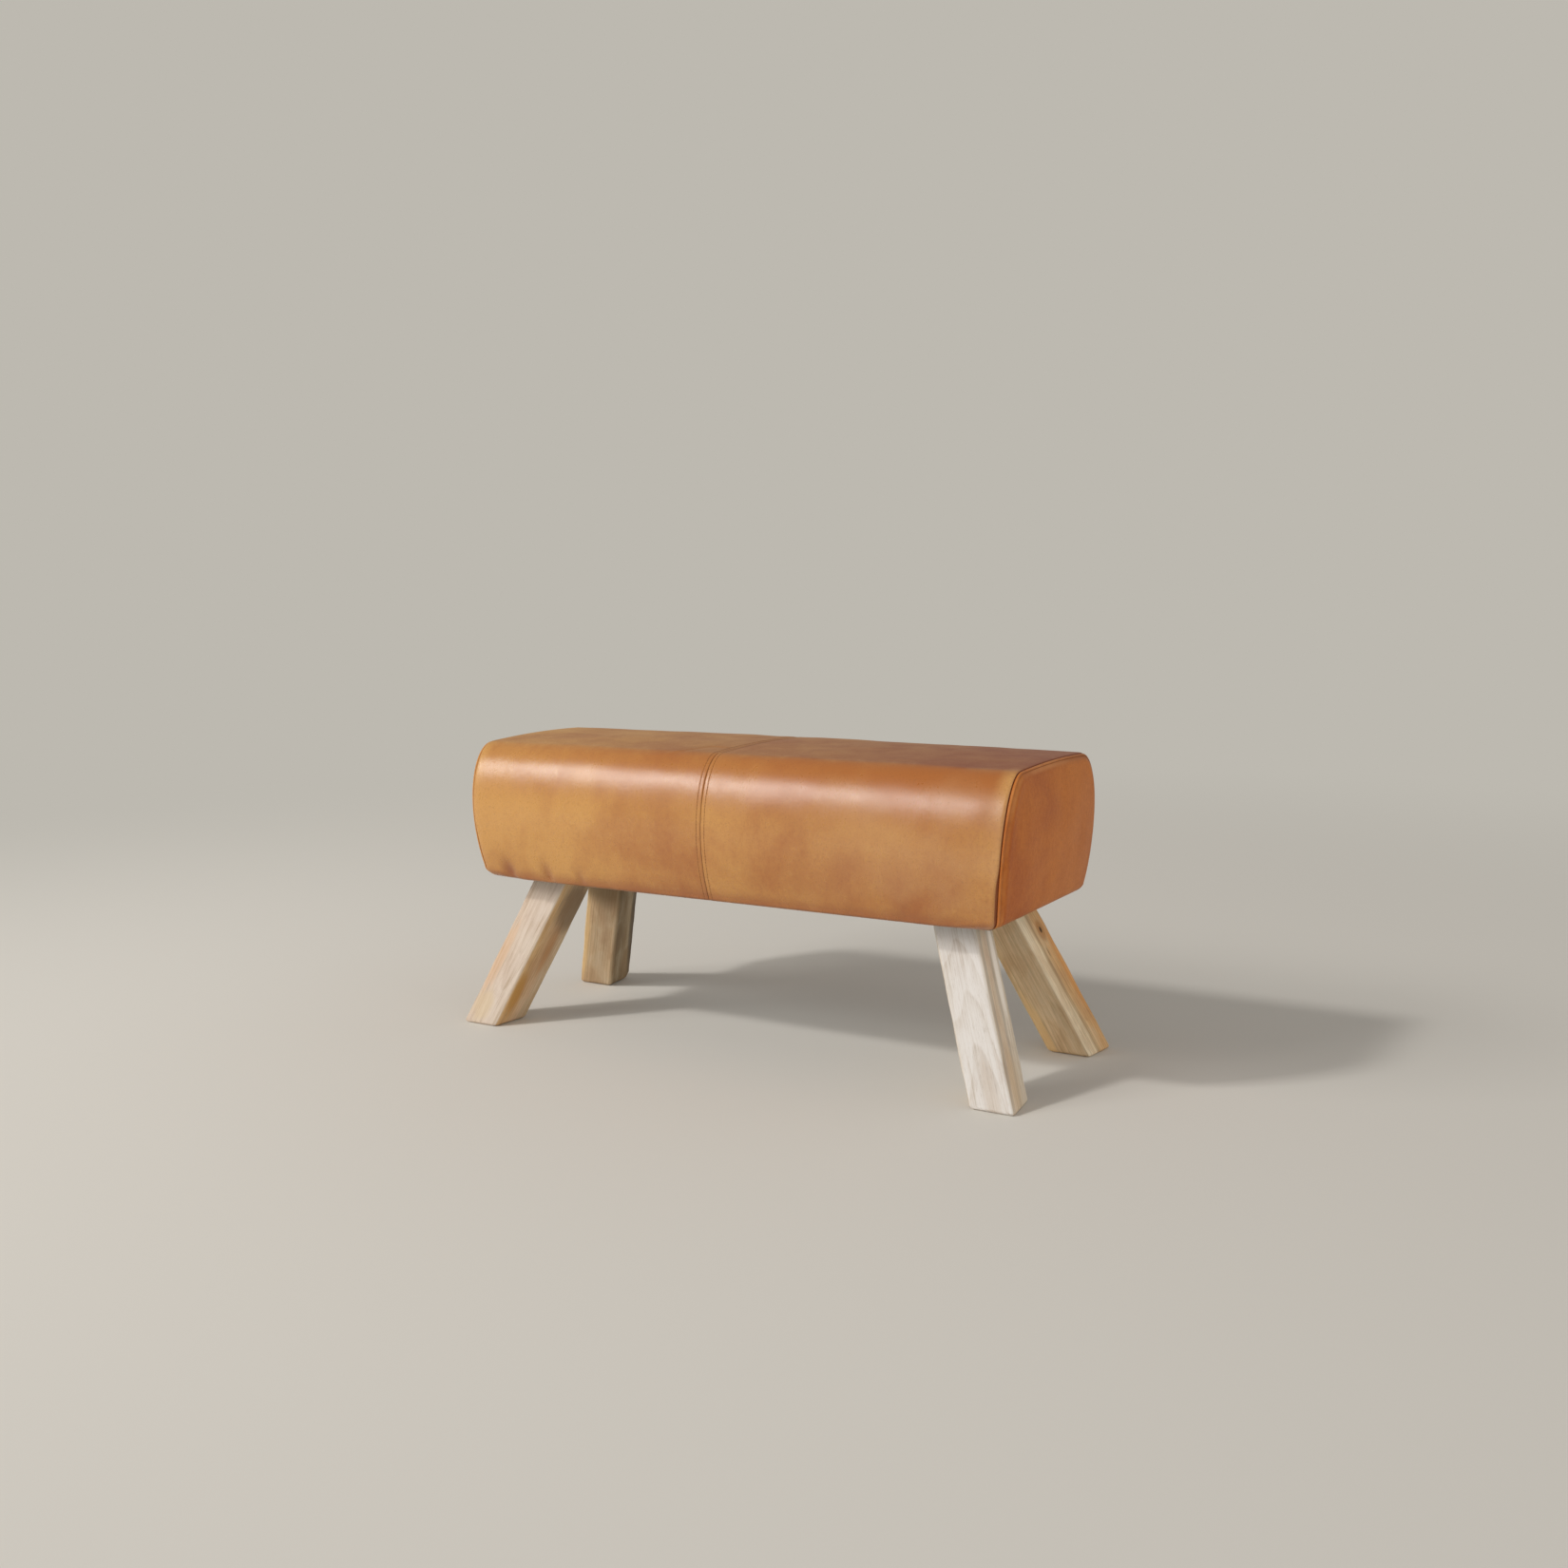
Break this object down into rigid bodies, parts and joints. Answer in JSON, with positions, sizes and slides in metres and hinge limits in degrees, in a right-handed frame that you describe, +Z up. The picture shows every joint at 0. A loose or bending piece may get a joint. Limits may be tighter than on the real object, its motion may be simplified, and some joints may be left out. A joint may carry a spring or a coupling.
{
  "type": "upholstered bench",
  "caption": "Long leather-covered bench on splayed square wooden legs, with a box-shaped padded seat, a sewn middle seam and crowned end panels.",
  "frame": {"origin": "on the floor, under the middle of the seat", "axes": "+X along the seat, towards the end that the picture shows; +Y across the seat, away from the viewer; +Z up"},
  "size_m": [0.9958, 0.3668, 0.472],
  "materials": {
    "leg_wood": "matte",
    "cleat_wood": "matte",
    "frame_wood": "matte",
    "plywood": "matte",
    "zinc_steel": "satin",
    "foam": "matte",
    "tan_leather": "satin",
    "black_cloth": "matte"
  },
  "bodies": {
    "root": {"leg_front_left": "leg_wood", "leg_front_right": "leg_wood", "leg_back_left": "leg_wood", "leg_back_right": "leg_wood", "leg_screws": "zinc_steel", "leg_washers": "zinc_steel", "left_leg_cleat": "cleat_wood", "right_leg_cleat": "cleat_wood", "base_board": "plywood", "front_rail": "frame_wood", "back_rail": "frame_wood", "left_end_board": "frame_wood", "right_end_board": "frame_wood", "centre_rib": "frame_wood", "top_board": "plywood", "top_board_screws": "zinc_steel", "base_board_screws": "zinc_steel", "top_foam": "foam", "front_foam": "foam", "back_foam": "foam", "left_end_foam": "foam", "right_end_foam": "foam", "left_wrap": "tan_leather", "right_wrap": "tan_leather", "left_end_panel": "tan_leather", "right_end_panel": "tan_leather", "seam_tape": "black_cloth", "dust_cover": "black_cloth"}
  },
  "joints": []
}
